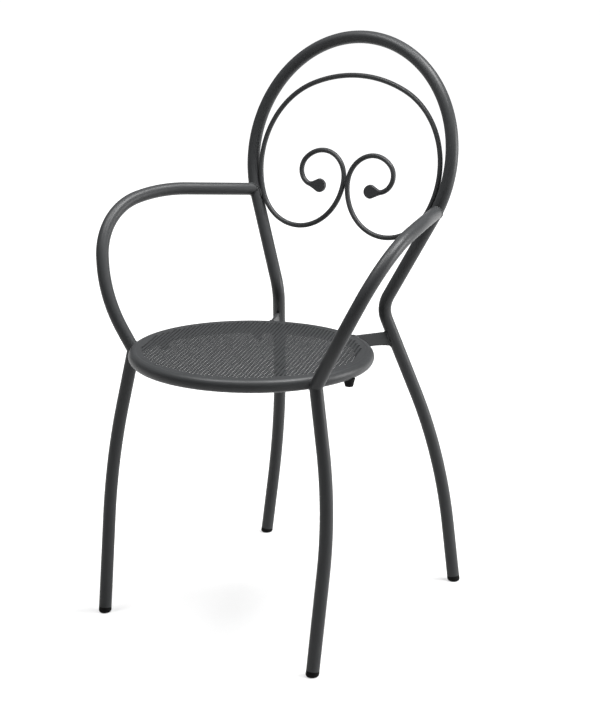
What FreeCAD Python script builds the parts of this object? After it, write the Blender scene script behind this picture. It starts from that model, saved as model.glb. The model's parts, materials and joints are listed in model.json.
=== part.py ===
import FreeCAD, Part
import math
import os

Vector = FreeCAD.Vector
Rotation = FreeCAD.Rotation
Placement = FreeCAD.Placement

# Stacking garden chair of bent steel tube: millimetres and degrees, +X the sitter's left,
# +Y to the rear, +Z up from the floor. Plan distances in the sheet start at the seat's centre.
doc = FreeCAD.newDocument("stacking_garden_chair")
sheet = doc.addObject("Spreadsheet::Sheet", "sizes")

SIZES = [
    ("tube_diameter", 21, "outer diameter of every frame tube"),
    ("tube_wall", 1.5, "wall of every frame tube"),
    ("weld_gap", 0.2, "root gap between welded pieces"),
    ("seat_setback", 72, "from the origin forward to the seat's centre"),
    ("seat_ring_radius", 184, "radius of the seat ring's centre line"),
    ("seat_height", 443.5, "height of the seat ring's centre"),
    ("seat_tilt", 2.25, "fall of the seat to the rear"),
    ("sheet_thickness", 1, "thickness of the seat sheet"),
    ("perforation_pitch", 28.8, "spacing of the seat sheet's openings"),
    ("perforation_diameter", 19, "diameter of the seat sheet's openings"),
    ("perforation_margin", 15, "from the ring's centre line in to the openings"),
    ("rear_foot_x", 200, "rear foot, sideways"),
    ("rear_foot_y", 291.5, "rear foot, rearward"),
    ("rear_bow_x", 168, "corner of the rear leg's bow, sideways"),
    ("rear_bow_y", 298, "corner of the rear leg's bow, rearward"),
    ("rear_bow_z", 221, "corner of the rear leg's bow, height"),
    ("rear_bow_radius", 735, "bend radius of the rear leg's bow"),
    ("knee_x", 105, "corner of the knee, sideways"),
    ("knee_y", 215.5, "corner of the knee, rearward"),
    ("knee_z", 487.5, "corner of the knee, height"),
    ("knee_radius", 49, "bend radius of the knee"),
    ("back_lean", 15, "lean of the back from upright"),
    ("hoop_rise", 238.5, "hoop centre above the knees, along the back"),
    ("hoop_radius", 196.5, "radius of the hoop's centre line"),
    ("joint_angle", 23, "arm and leg joint forward of the seat's side"),
    ("joint_standoff", 0.8, "arm and leg joint outside the ring's outer face"),
    ("joint_drop", 2, "arm and leg joint below the ring's centre"),
    ("front_bow_x", 218, "corner of the front leg's bow, sideways"),
    ("front_bow_y", -98, "corner of the front leg's bow, rearward"),
    ("front_bow_z", 255, "corner of the front leg's bow, height"),
    ("front_bow_radius", 835, "bend radius of the front leg's bow"),
    ("front_foot_x", 211, "front foot, sideways"),
    ("front_foot_y", -140, "front foot, rearward"),
    ("arm_low_x", 229, "corner of the arm's lower bend, sideways"),
    ("arm_low_y", -84.5, "corner of the arm's lower bend, rearward"),
    ("arm_low_z", 522.5, "corner of the arm's lower bend, height"),
    ("arm_low_radius", 240, "radius of the arm's lower bend"),
    ("arm_front_x", 280, "corner of the arm's front bend, sideways"),
    ("arm_front_y", -32, "corner of the arm's front bend, rearward"),
    ("arm_front_z", 649.5, "corner of the arm's front bend, height"),
    ("arm_front_radius", 125, "radius of the arm's front bend"),
    ("arm_rear_x", 257, "corner of the arm's rear bend, sideways"),
    ("arm_rear_y", 97, "corner of the arm's rear bend, rearward"),
    ("arm_rear_z", 667, "corner of the arm's rear bend, height"),
    ("arm_rear_radius", 262, "radius of the arm's rear bend"),
    ("arm_landing", 164, "where the arm meets the back, above the knees"),
    ("bracket_thickness", 5, "thickness of a seat bracket"),
    ("bracket_depth", 25, "height of a seat bracket at the leg"),
    ("bracket_arch", 4, "rise of the arch under a seat bracket"),
    ("wire_diameter", 8.4, "diameter of the scroll's round bar"),
    ("scroll_waist", 196.5, "where the two scrolls touch, above the knees"),
    ("crown_radius", 233, "scroll's free arc under the hoop"),
    ("flank_radius", 142.5, "scroll's arc along the hoop's side"),
    ("curl_radius", 46.5, "scroll's upper curl"),
    ("curl_end_radius", 26.5, "scroll's closing curl at its tip"),
    ("curl_turn", 136, "turn of the upper curl, from its waist"),
    ("curl_end_turn", 134, "turn of the closing curl"),
    ("tip_width", 23.5, "width of the flat drop on the scroll's end"),
    ("tip_length", 26, "length of the drop beyond the scroll's last arc"),
    ("tip_thickness", 6, "thickness of the drop at its widest"),
    ("tip_taper", 27, "slope of the drop's sides towards its neck"),
    ("tip_neck_wall", 1.2, "wall of the tip's neck round the bar"),
    ("tip_socket", 4, "straight end of the bar in the tip"),
    ("foot_height", 9, "foot below the tube's end, along the leg"),
    ("foot_stem", 22, "foot's stem inside the tube"),
    ("foot_round", 4, "rounding of the foot's lower edge"),
    ("plug_clearance", 0.1, "radial clearance of plugs in their tubes"),
    ("bumper_length", 11.5, "stacking bumper below the ring"),
    ("bumper_seat", 1.5, "depth of the saddle in the bumper's top"),
    ("bumper_top", 19, "stacking bumper's diameter at the ring"),
    ("bumper_bottom", 12.5, "stacking bumper's diameter at its end"),
    ("bumper_stem", 6, "diameter of the bumper's stem"),
    ("bumper_grip", 6, "bumper's stem inside the ring's wall"),
    ("side_bumper_angle", 1.8, "side bumpers, rearward of the seat's side"),
    ("rear_bumper_angle", 56, "rear bumpers, rearward of the seat's side"),
]

for row, (alias, value, note) in enumerate(SIZES, start=1):
    sheet.set(f"A{row}", alias)
    sheet.set(f"B{row}", str(value))
    sheet.set(f"C{row}", note)
    sheet.setAlias(f"B{row}", alias)
doc.recompute()


def size(alias):
    """Value of one sheet cell."""
    return float(sheet.get(alias))


TUBE_RADIUS = size("tube_diameter") / 2
WELD_GAP = size("weld_gap")
WIRE_RADIUS = size("wire_diameter") / 2
SEAT_CENTRE = Vector(0, -size("seat_setback"), size("seat_height"))
SEAT_PLACE = Placement(SEAT_CENTRE, Rotation(Vector(1, 0, 0), -size("seat_tilt")))
SIDES = {"left": 1, "right": -1}
BLOCK_TUBES = 4


def point(x, y, z):
    """Point measured from the seat's centre in plan and from the floor."""
    return Vector(x, y - size("seat_setback"), z)


def named_point(prefix):
    """Point whose three coordinates are sheet cells that share a prefix."""
    return point(size(prefix + "_x"), size(prefix + "_y"), size(prefix + "_z"))


def mirrored(vector):
    """The same point on the other side of the chair."""
    return Vector(-vector.x, vector.y, vector.z)


# The back's plane leans from the line between the two knees
LEAN = math.radians(size("back_lean"))
BACK_BASE = point(0, size("knee_y"), size("knee_z"))
BACK_UP = Vector(0, math.sin(LEAN), math.cos(LEAN))
BACK_NORMAL = Vector(0, math.cos(LEAN), -math.sin(LEAN))


def on_back(x, rise):
    """Point of the back's plane, x sideways and rise up the back from the knees."""
    return BACK_BASE + Vector(x, 0, 0) + BACK_UP * rise


def bend_run(before, corner, after, radius):
    """Length of each straight run that a bend takes up."""
    return radius / math.tan((before - corner).getAngle(after - corner) / 2)


def bend(before, corner, after, radius):
    """Start, middle and end of the arc that rounds a corner."""
    to_before = (before - corner).normalize()
    to_after = (after - corner).normalize()
    inward = (to_before + to_after).normalize()
    run = bend_run(before, corner, after, radius)
    middle = corner + inward * (math.hypot(radius, run) - radius)
    return corner + to_before * run, middle, corner + to_after * run


def bent_path(points, radii):
    """Edges of straight runs with a tangent arc at each inner corner, no arc longer than its runs."""
    corners = list(zip(points, points[1:], points[2:], radii))
    wanted = [0] + [bend_run(*corner) for corner in corners] + [0]
    lengths = [(b - a).Length for a, b in zip(points, points[1:])]
    room = [length / max(length, a + b) for length, a, b in zip(lengths, wanted, wanted[1:])]
    edges = []
    start = points[0]
    for (before, corner, after, radius), share in zip(corners, map(min, room, room[1:])):
        first, middle, last = bend(before, corner, after, radius * share)
        if (first - start).Length > WELD_GAP:
            edges.append(Part.LineSegment(start, first).toShape())
            start = first
        edges.append(Part.Arc(start, middle, last).toShape())
        start = last
    if (points[-1] - start).Length > WELD_GAP:
        edges.append(Part.LineSegment(start, points[-1]).toShape())
    return edges


def add_path(name, edges):
    """Document object that holds a centre line."""
    path = doc.addObject("Part::Feature", name)
    path.Shape = Part.Wire(edges)
    return path


def add_sweep(name, path, diameter):
    """Solid round bar along a centre line, its diameter given as a sheet expression."""
    edge = path.Shape.OrderedEdges[0]
    start = path.Shape.OrderedVertexes[0].Point
    tangent = edge.tangentAt(edge.FirstParameter)
    if (edge.valueAt(edge.FirstParameter) - start).Length > WELD_GAP:
        tangent = edge.tangentAt(edge.LastParameter).negative()
    section = doc.addObject("Part::Circle", name + "_section")
    section.Placement = Placement(start, Rotation(Vector(0, 0, 1), tangent))
    section.setExpression("Radius", f"({diameter}) / 2")
    sweep = doc.addObject("Part::Sweep", name)
    sweep.Sections = [section]
    sweep.Spine = (path, [f"Edge{i + 1}" for i in range(len(path.Shape.Edges))])
    sweep.Solid = True
    return sweep


def add_cut(name, base, tool):
    """First object less the second."""
    cut = doc.addObject("Part::Cut", name)
    cut.Base = base
    cut.Tool = tool
    return cut


def add_tube(name, edges):
    """Hollow frame tube along a centre line."""
    path = add_path(name + "_path", edges)
    outer = add_sweep(name + "_outer", path, "sizes.tube_diameter")
    bore = add_sweep(name + "_bore", path, "sizes.tube_diameter - 2 * sizes.tube_wall")
    return add_cut(name + "_tube", outer, bore)


def add_cylinder(name, radius, height, place):
    """Cylinder with its sizes as sheet expressions."""
    cylinder = doc.addObject("Part::Cylinder", name)
    cylinder.setExpression("Radius", radius)
    cylinder.setExpression("Height", height)
    cylinder.Placement = place
    return cylinder


def add_torus(name, tube_radius):
    """Ring about the seat's centre line, its tube radius given as a sheet expression."""
    torus = doc.addObject("Part::Torus", name)
    torus.setExpression("Radius1", "sizes.seat_ring_radius")
    torus.setExpression("Radius2", tube_radius)
    torus.Placement = SEAT_PLACE
    return torus


def add_half_space(name, origin, normal):
    """Block several tubes wide that fills the side of a plane to which the normal points."""
    block = doc.addObject("Part::Box", name)
    for edge in ("Length", "Width", "Height"):
        block.setExpression(edge, f"{BLOCK_TUBES} * sizes.tube_diameter")
    half = BLOCK_TUBES * TUBE_RADIUS
    turn = Rotation(Vector(0, 0, 1), normal)
    block.Placement = Placement(origin + turn.multVec(Vector(-half, -half, 0)), turn)
    return block


subparts = {}


def keep(name, item):
    """List a finished sub-part under its node's name."""
    item.Label = name
    subparts[name] = item


# Back frame: one tube from foot to foot over both rear legs, the knees and the hoop
KNEE = named_point("knee")
REAR_BOW = named_point("rear_bow")
REAR_FOOT = point(size("rear_foot_x"), size("rear_foot_y"), 0)
FRONT_FOOT = point(size("front_foot_x"), size("front_foot_y"), 0)
REAR_LEG_UP = (REAR_BOW - REAR_FOOT).normalize()
REAR_TUBE_END = REAR_FOOT + REAR_LEG_UP * size("foot_height")

# The run up from the knee is tangent to the hoop's circle
KNEE_TO_CENTRE = math.hypot(size("knee_x"), size("hoop_rise"))
RUN_LENGTH = math.sqrt(KNEE_TO_CENTRE**2 - size("hoop_radius") ** 2)
RUN_ANGLE = math.atan2(size("hoop_rise"), -size("knee_x")) - math.asin(
    size("hoop_radius") / KNEE_TO_CENTRE
)
TANGENT_X = size("knee_x") + RUN_LENGTH * math.cos(RUN_ANGLE)
TANGENT_RISE = RUN_LENGTH * math.sin(RUN_ANGLE)
HOOP_START = on_back(TANGENT_X, TANGENT_RISE)
HOOP_TOP = on_back(0, size("hoop_rise") + size("hoop_radius"))

back_line = [REAR_TUBE_END, REAR_BOW, KNEE, HOOP_START]
back_radii = [size("rear_bow_radius"), size("knee_radius")]
back_edges = bent_path(back_line, back_radii)
back_edges.append(Part.Arc(HOOP_START, HOOP_TOP, mirrored(HOOP_START)).toShape())
back_edges += bent_path([mirrored(p) for p in reversed(back_line)], back_radii[::-1])
keep("back_frame", add_tube("back_frame", back_edges))
back_clear = add_sweep(
    "back_clear", doc.getObject("back_frame_path"), "sizes.tube_diameter + 2 * sizes.weld_gap"
)

# Seat ring, with a hole through its lower wall for each stacking bumper
ring_clear = add_torus("ring_clear", "sizes.tube_diameter / 2 + sizes.weld_gap")
ring_solid = add_torus("ring_solid", "sizes.tube_diameter / 2")
ring_bore = add_torus("ring_bore", "sizes.tube_diameter / 2 - sizes.tube_wall")
ring = add_cut("ring_tube", ring_solid, ring_bore)

BUMPER_ANGLES = {
    "side_left": size("side_bumper_angle"),
    "side_right": 180 - size("side_bumper_angle"),
    "rear_left": size("rear_bumper_angle"),
    "rear_right": 180 - size("rear_bumper_angle"),
}


def bumper_place(angle):
    """Placement on the ring's centre line, its axis pointing down, square to the seat."""
    ray = Rotation(Vector(0, 0, 1), angle).multVec(Vector(size("seat_ring_radius"), 0, 0))
    return SEAT_PLACE.multiply(Placement(ray, Rotation(Vector(1, 0, 0), 180)))


def along(place, distance):
    """Placement moved along its own axis."""
    return place.multiply(Placement(Vector(0, 0, distance), Rotation()))


for where, angle in BUMPER_ANGLES.items():
    hole = add_cylinder(
        "bumper_hole_" + where,
        "sizes.bumper_stem / 2 + sizes.plug_clearance",
        "sizes.tube_diameter",
        bumper_place(angle),
    )
    ring = add_cut("ring_drilled_" + where, ring, hole)
keep("seat_ring", ring)

# Seat sheet: a disc let in flush with the ring's crest. Its staggered openings stand for a fine
# perforation of the same open share, a quarter of their size and spacing
SHEET_PLACE = along(SEAT_PLACE, TUBE_RADIUS - size("sheet_thickness"))
sheet_disc = add_cylinder("sheet_disc", "sizes.seat_ring_radius", "sizes.sheet_thickness", SHEET_PLACE)
sheet_trimmed = add_cut("sheet_trimmed", sheet_disc, ring_clear)

HOLE_RADIUS = size("perforation_diameter") / 2
HOLE_REACH = size("seat_ring_radius") - size("perforation_margin") - HOLE_RADIUS
ROW_STEP = size("perforation_pitch") * math.sin(math.pi / 3)
ROWS = int(HOLE_REACH / ROW_STEP)

hole_faces = []
for row in range(-ROWS, ROWS + 1):
    stagger = 0.5 if row % 2 == 0 else 0
    for column in range(-ROWS - 1, ROWS + 1):
        spot = Vector((column + stagger) * size("perforation_pitch"), row * ROW_STEP, 0)
        if spot.Length < HOLE_REACH:
            hole_faces.append(Part.Face(Part.Wire(Part.makeCircle(HOLE_RADIUS, spot))))
hole_pattern = doc.addObject("Part::Feature", "hole_pattern")
hole_pattern.Shape = Part.makeCompound(hole_faces)
hole_pattern.Placement = SHEET_PLACE
punch = doc.addObject("Part::Extrusion", "punch")
punch.Base = hole_pattern
punch.DirMode = "Normal"
punch.setExpression("LengthFwd", "sizes.sheet_thickness")
punch.Solid = True
keep("seat_sheet", add_cut("sheet_punched", sheet_trimmed, punch))

# Arms and front legs meet in a mitre on the outer face of the ring
JOINT_ANGLE = math.radians(size("joint_angle"))
JOINT_RADIUS = size("seat_ring_radius") + TUBE_RADIUS + size("joint_standoff")
JOINT = point(
    JOINT_RADIUS * math.cos(JOINT_ANGLE),
    -JOINT_RADIUS * math.sin(JOINT_ANGLE),
    size("seat_height") - size("joint_drop"),
)
FRONT_BOW = named_point("front_bow")
FRONT_LEG_UP = (FRONT_BOW - FRONT_FOOT).normalize()
FRONT_TUBE_END = FRONT_FOOT + FRONT_LEG_UP * size("foot_height")
ARM_LOW = named_point("arm_low")
ARM_FRONT = named_point("arm_front")
ARM_REAR = named_point("arm_rear")
LEG_DOWN = (FRONT_BOW - JOINT).normalize()
ARM_UP = (ARM_LOW - JOINT).normalize()
MITRE_NORMAL = (ARM_UP - LEG_DOWN).normalize()
OVERRUN = 2 * TUBE_RADIUS

if size("arm_landing") < TANGENT_RISE:
    LANDING_X = size("knee_x") + (TANGENT_X - size("knee_x")) * size("arm_landing") / TANGENT_RISE
else:
    LANDING_X = math.sqrt(size("hoop_radius") ** 2 - (size("arm_landing") - size("hoop_rise")) ** 2)
ARM_END = on_back(LANDING_X, size("arm_landing"))

leg_line = [FRONT_TUBE_END, FRONT_BOW, JOINT - LEG_DOWN * OVERRUN]
leg_radii = [size("front_bow_radius")]
arm_line = [JOINT - ARM_UP * OVERRUN, ARM_LOW, ARM_FRONT, ARM_REAR, ARM_END]
arm_radii = [size(f"arm_{bend}_radius") for bend in ("low", "front", "rear")]

for side_name, side in SIDES.items():

    def sided(vector):
        """Point of the left half, moved to this side."""
        return vector if side > 0 else mirrored(vector)

    joint, normal = sided(JOINT), sided(MITRE_NORMAL)

    leg = add_tube(f"front_leg_{side_name}", bent_path([sided(p) for p in leg_line], leg_radii))
    above = add_half_space(f"above_mitre_{side_name}", joint, normal)
    leg = add_cut(f"front_leg_mitred_{side_name}", leg, above)
    keep(f"front_leg_{side_name}", add_cut(f"front_leg_coped_{side_name}", leg, ring_clear))

    arm = add_tube(f"arm_{side_name}", bent_path([sided(p) for p in arm_line], arm_radii))
    below = add_half_space(f"below_mitre_{side_name}", joint + normal * WELD_GAP, normal.negative())
    arm = add_cut(f"arm_mitred_{side_name}", arm, below)
    arm = add_cut(f"arm_coped_front_{side_name}", arm, ring_clear)
    keep(f"arm_{side_name}", add_cut(f"arm_coped_{side_name}", arm, back_clear))

# Seat brackets: upright plates from the ring to the rear legs, arched underneath
LEG_FALL = (KNEE - REAR_BOW).normalize()
CREST = SEAT_CENTRE.z + TUBE_RADIUS
BRACKET_LEG = REAR_BOW + LEG_FALL * ((SEAT_CENTRE.z - REAR_BOW.z) / LEG_FALL.z)
BRACKET_RUN = Vector(BRACKET_LEG.x, BRACKET_LEG.y - SEAT_CENTRE.y, 0)
BRACKET_OUT = Vector(BRACKET_RUN).normalize()
TILT_FALL = math.tan(math.radians(size("seat_tilt"))) * BRACKET_OUT.y


def bracket_point(reach, drop):
    """Point of the bracket's plate, out from the seat's centre and down from the seat's plane."""
    return Vector(0, SEAT_CENTRE.y, CREST) + BRACKET_OUT * reach - Vector(0, 0, TILT_FALL * reach + drop)


INNER_REACH = size("seat_ring_radius")
OUTER_REACH = BRACKET_RUN.Length
LOW = size("bracket_depth")
for side_name, side in SIDES.items():
    corners = [
        bracket_point(INNER_REACH, 0),
        bracket_point(OUTER_REACH, 0),
        bracket_point(OUTER_REACH, LOW),
        bracket_point((INNER_REACH + OUTER_REACH) / 2, LOW - size("bracket_arch")),
        bracket_point(INNER_REACH, LOW),
    ]
    across = BRACKET_OUT.cross(Vector(0, 0, 1))
    if side < 0:
        corners = [mirrored(corner) for corner in corners]
        across = mirrored(across)
    inner_top, outer_top, outer_low, arch_top, inner_low = [
        corner - across * (size("bracket_thickness") / 2) for corner in corners
    ]
    outline = Part.Wire(
        [
            Part.LineSegment(inner_top, outer_top).toShape(),
            Part.LineSegment(outer_top, outer_low).toShape(),
            Part.Arc(outer_low, arch_top, inner_low).toShape(),
            Part.LineSegment(inner_low, inner_top).toShape(),
        ]
    )
    blank = doc.addObject("Part::Feature", f"bracket_outline_{side_name}")
    blank.Shape = Part.Face(outline)
    plate = doc.addObject("Part::Extrusion", f"bracket_plate_{side_name}")
    plate.Base = blank
    plate.DirMode = "Custom"
    plate.Dir = across
    plate.setExpression("LengthFwd", "sizes.bracket_thickness")
    plate.Solid = True
    plate = add_cut(f"bracket_at_ring_{side_name}", plate, ring_clear)
    keep(f"seat_bracket_{side_name}", add_cut(f"bracket_at_leg_{side_name}", plate, back_clear))

# Scroll: one round bar of tangent arcs in the back's plane, mirrored about the middle.
# The lower loop touches the hoop from inside, and the flank arc leaves it at that point.
HALF_GAP = WIRE_RADIUS + WELD_GAP / 2
CLEAR_RADIUS = size("hoop_radius") - TUBE_RADIUS - WIRE_RADIUS - WELD_GAP
WAIST_DROP = size("hoop_rise") - size("scroll_waist")
LOOP_RADIUS = (CLEAR_RADIUS**2 - HALF_GAP**2 - WAIST_DROP**2) / (2 * (CLEAR_RADIUS + HALF_GAP))
LOOP_CENTRE = (HALF_GAP + LOOP_RADIUS, size("scroll_waist"))
LOOP_ANGLE = math.atan2(-WAIST_DROP, LOOP_CENTRE[0])
FLANK_OFFSET = CLEAR_RADIUS - size("flank_radius")
FLANK_CENTRE = (
    FLANK_OFFSET * math.cos(LOOP_ANGLE),
    size("hoop_rise") + FLANK_OFFSET * math.sin(LOOP_ANGLE),
)
CROWN_OFFSET = size("crown_radius") - size("flank_radius")
CROWN_CENTRE = (0, FLANK_CENTRE[1] - math.sqrt(CROWN_OFFSET**2 - FLANK_CENTRE[0] ** 2))
CURL_CENTRE = (HALF_GAP + size("curl_radius"), size("scroll_waist"))

CROWN_ANGLE = math.atan2(FLANK_CENTRE[1] - CROWN_CENTRE[1], FLANK_CENTRE[0])
CURL_ANGLE = math.pi - math.radians(size("curl_turn"))
END_ANGLE = CURL_ANGLE - math.radians(size("curl_end_turn"))
CURL_STEP = size("curl_radius") - size("curl_end_radius")
CURL_END_CENTRE = (
    CURL_CENTRE[0] + CURL_STEP * math.cos(CURL_ANGLE),
    CURL_CENTRE[1] + CURL_STEP * math.sin(CURL_ANGLE),
)


def scroll_arc(centre, radius, first, last, side):
    """Arc of the scroll between two angles about its centre, on one side."""
    points = []
    for angle in (first, (first + last) / 2, last):
        x = centre[0] + radius * math.cos(angle)
        points.append(on_back(side * x, centre[1] + radius * math.sin(angle)))
    return Part.Arc(*points).toShape()


def tip_place(side):
    """Placement where the bar runs straight into its tip, the axis pointing ahead."""
    x = CURL_END_CENTRE[0] + size("curl_end_radius") * math.cos(END_ANGLE)
    rise = CURL_END_CENTRE[1] + size("curl_end_radius") * math.sin(END_ANGLE)
    ahead = Vector(side * math.sin(END_ANGLE), 0, 0) - BACK_UP * math.cos(END_ANGLE)
    across = ahead.cross(BACK_NORMAL)
    return Placement(on_back(side * x, rise), Rotation(across, BACK_NORMAL, ahead, "ZXY"))


def half_scroll(side):
    """Edges of one scroll, from the crown's flank to the end in the tip."""
    place = tip_place(side)
    end = along(place, size("tip_socket")).Base
    return [
        scroll_arc(FLANK_CENTRE, size("flank_radius"), CROWN_ANGLE, LOOP_ANGLE, side),
        scroll_arc(LOOP_CENTRE, LOOP_RADIUS, LOOP_ANGLE, -math.pi, side),
        scroll_arc(CURL_CENTRE, size("curl_radius"), math.pi, CURL_ANGLE, side),
        scroll_arc(CURL_END_CENTRE, size("curl_end_radius"), CURL_ANGLE, END_ANGLE, side),
        Part.LineSegment(place.Base, end).toShape(),
    ]


crown = scroll_arc(CROWN_CENTRE, size("crown_radius"), CROWN_ANGLE, math.pi - CROWN_ANGLE, 1)
scroll_path = add_path("scroll_path", half_scroll(1)[::-1] + [crown] + half_scroll(-1))
keep("back_scroll", add_sweep("back_scroll_bar", scroll_path, "sizes.wire_diameter"))

# Scroll tips: flat drops in the back's plane, their necks round and socketed over the bar's ends.
# The sides of a drop are tangent to its round end and run back to the neck.
TIP_RADIUS = size("tip_width") / 2
TIP_CENTRE = size("tip_length") - TIP_RADIUS
TIP_HALF_DEPTH = size("tip_thickness") / 2
NECK_RADIUS = WIRE_RADIUS + size("tip_neck_wall")
TAPER = math.radians(size("tip_taper"))
TAPER_RUN = (TIP_RADIUS * math.cos(TAPER) - NECK_RADIUS) / math.tan(TAPER)
TAPER_END = TIP_CENTRE - TIP_RADIUS * math.sin(TAPER)
NECK_START = TAPER_END - TAPER_RUN
TAPER_SECTIONS = 3
ROUND_ANGLES = (-size("tip_taper"), 0, 30, 55, 75, 86)


def tip_sections():
    """Distance along the drop, half width and half depth of each of its cross-sections."""
    sections = []
    for step in range(TAPER_SECTIONS):
        ahead = TAPER_RUN * step / TAPER_SECTIONS
        ease = (ahead / (TIP_CENTRE - NECK_START)) ** 2
        depth = NECK_RADIUS + (TIP_HALF_DEPTH - NECK_RADIUS) * ease
        sections.append((NECK_START + ahead, NECK_RADIUS + ahead * math.tan(TAPER), depth))
    for angle in map(math.radians, ROUND_ANGLES):
        distance = TIP_CENTRE + TIP_RADIUS * math.sin(angle)
        depth = TIP_HALF_DEPTH * math.cos(angle)
        if angle < 0:
            ease = ((distance - NECK_START) / (TIP_CENTRE - NECK_START)) ** 2
            depth = NECK_RADIUS + (TIP_HALF_DEPTH - NECK_RADIUS) * ease
        sections.append((distance, TIP_RADIUS * math.cos(angle), depth))
    return sections


bar_clear = add_sweep(
    "bar_clear", scroll_path, "sizes.wire_diameter + 2 * sizes.plug_clearance"
)
for side_name, side in SIDES.items():
    place = tip_place(side)
    ellipses = []
    for number, (distance, half_width, half_depth) in enumerate(tip_sections(), start=1):
        ellipse = doc.addObject("Part::Ellipse", f"tip_section_{side_name}_{number}")
        ellipse.MajorRadius = half_width
        ellipse.MinorRadius = half_depth
        ellipse.Placement = along(place, distance)
        ellipses.append(ellipse)
    drop = doc.addObject("Part::Loft", f"tip_drop_{side_name}")
    drop.Sections = ellipses
    drop.Solid = True
    socket = add_cylinder(
        f"tip_socket_{side_name}",
        "sizes.wire_diameter / 2 + sizes.plug_clearance",
        "sizes.tip_socket + sizes.plug_clearance",
        place,
    )
    sleeve = add_cut(f"tip_sleeve_{side_name}", drop, bar_clear)
    keep(f"scroll_tip_{side_name}", add_cut(f"tip_bored_{side_name}", sleeve, socket))

# Feet: plugs with a stem in the tube, rounded below and flat where they stand
FEET = {
    "front": (FRONT_FOOT, FRONT_LEG_UP),
    "rear": (REAR_FOOT, REAR_LEG_UP),
}
for end_name, (foot, upward) in FEET.items():
    for side_name, side in SIDES.items():
        name = f"foot_{end_name}_{side_name}"
        base = foot if side > 0 else mirrored(foot)
        axis = upward if side > 0 else mirrored(upward)
        place = Placement(base, Rotation(Vector(0, 0, 1), axis))
        pad = add_cylinder(
            name + "_pad",
            "sizes.tube_diameter / 2",
            "sizes.foot_height + sizes.foot_round - sizes.plug_clearance",
            along(place, -size("foot_round")),
        )
        stem = add_cylinder(
            name + "_stem",
            "sizes.tube_diameter / 2 - sizes.tube_wall - sizes.plug_clearance",
            "sizes.foot_stem + sizes.foot_height",
            place,
        )
        plug = doc.addObject("Part::Fuse", name + "_plug")
        plug.Base = pad
        plug.Tool = stem
        floor = add_half_space(name + "_floor", base, Vector(0, 0, -1))
        flat = add_cut(name + "_flat", plug, floor)
        doc.recompute()
        rim = [
            (number, size("foot_round"), size("foot_round"))
            for number, edge in enumerate(flat.Shape.Edges, start=1)
            if edge.BoundBox.ZMax < WELD_GAP
        ]
        rounded = doc.addObject("Part::Fillet", name + "_rounded")
        rounded.Base = flat
        rounded.Edges = rim
        keep(name, rounded)

# Stacking bumpers: tapered stops saddled under the ring, each on a stem through its lower wall
for where, angle in BUMPER_ANGLES.items():
    place = bumper_place(angle)
    head = doc.addObject("Part::Cone", f"bumper_head_{where}")
    head.setExpression("Radius1", "sizes.bumper_top / 2")
    head.setExpression("Radius2", "sizes.bumper_bottom / 2")
    head.setExpression("Height", "sizes.bumper_seat + sizes.bumper_length")
    head.Placement = along(place, TUBE_RADIUS - size("bumper_seat"))
    saddle = add_cut(f"bumper_saddle_{where}", head, ring_clear)
    stem = add_cylinder(
        f"bumper_stem_{where}",
        "sizes.bumper_stem / 2",
        "sizes.bumper_grip + sizes.bumper_length",
        along(place, TUBE_RADIUS - size("bumper_grip")),
    )
    bumper = doc.addObject("Part::Fuse", f"bumper_{where}")
    bumper.Base = saddle
    bumper.Tool = stem
    keep(f"bumper_{where}", bumper)

doc.recompute()
for item in doc.Objects:
    if "Invalid" in item.State or "Error" in item.State:
        raise RuntimeError(f"{item.Label} failed to build")
for name, item in subparts.items():
    if item.Shape.isNull() or not item.Shape.isValid() or not item.Shape.Solids:
        raise RuntimeError(f"{name} has no sound shape")

os.makedirs("parts", exist_ok=True)
for name, item in subparts.items():
    item.Shape.exportStep(os.path.join("parts", name + ".step"))
    box = item.Shape.BoundBox
    print(f"{name}: {len(item.Shape.Solids)} solid, {item.Shape.Volume:.0f} mm3,",
          f"z {box.ZMin:.1f} to {box.ZMax:.1f}, y {box.YMin:.1f} to {box.YMax:.1f}")
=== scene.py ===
"""Looks of a stacking garden chair of bent steel tube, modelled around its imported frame.

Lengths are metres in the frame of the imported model: +X the sitter's left, +Y to the rear, +Z up
from the floor. Pieces of the left side are modelled, and those of the right are mirrored copies.
"""

import json
import logging
from abc import ABC, abstractmethod
from contextlib import contextmanager
from dataclasses import dataclass, field
from enum import Enum
from functools import partial
from math import acos, asin, atan2, ceil, cos, hypot, pi, radians, sin, sqrt, tan
from typing import Any, Callable, Iterator, NamedTuple, Sequence

import bmesh
import bpy
from bpy.types import Material, Node, NodeTree, Object
from mathutils import Matrix, Vector

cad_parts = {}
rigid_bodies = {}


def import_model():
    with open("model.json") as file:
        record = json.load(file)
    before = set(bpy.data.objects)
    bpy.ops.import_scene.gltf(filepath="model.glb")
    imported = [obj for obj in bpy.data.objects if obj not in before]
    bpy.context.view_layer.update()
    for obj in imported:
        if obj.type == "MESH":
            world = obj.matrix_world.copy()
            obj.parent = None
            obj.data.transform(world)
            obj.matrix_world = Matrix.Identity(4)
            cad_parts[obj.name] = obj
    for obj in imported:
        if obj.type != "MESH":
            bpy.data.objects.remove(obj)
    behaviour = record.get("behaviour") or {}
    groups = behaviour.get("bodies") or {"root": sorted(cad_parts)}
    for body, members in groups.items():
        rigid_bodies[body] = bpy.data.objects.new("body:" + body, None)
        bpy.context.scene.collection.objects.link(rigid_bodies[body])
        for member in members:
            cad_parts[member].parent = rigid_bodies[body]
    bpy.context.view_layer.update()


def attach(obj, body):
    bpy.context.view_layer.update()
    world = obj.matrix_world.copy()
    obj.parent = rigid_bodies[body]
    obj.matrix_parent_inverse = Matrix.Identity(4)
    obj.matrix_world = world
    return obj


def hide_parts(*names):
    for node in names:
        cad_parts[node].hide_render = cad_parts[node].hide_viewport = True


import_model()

LOG = logging.getLogger("garden_chair")
BODY = "root"
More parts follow.
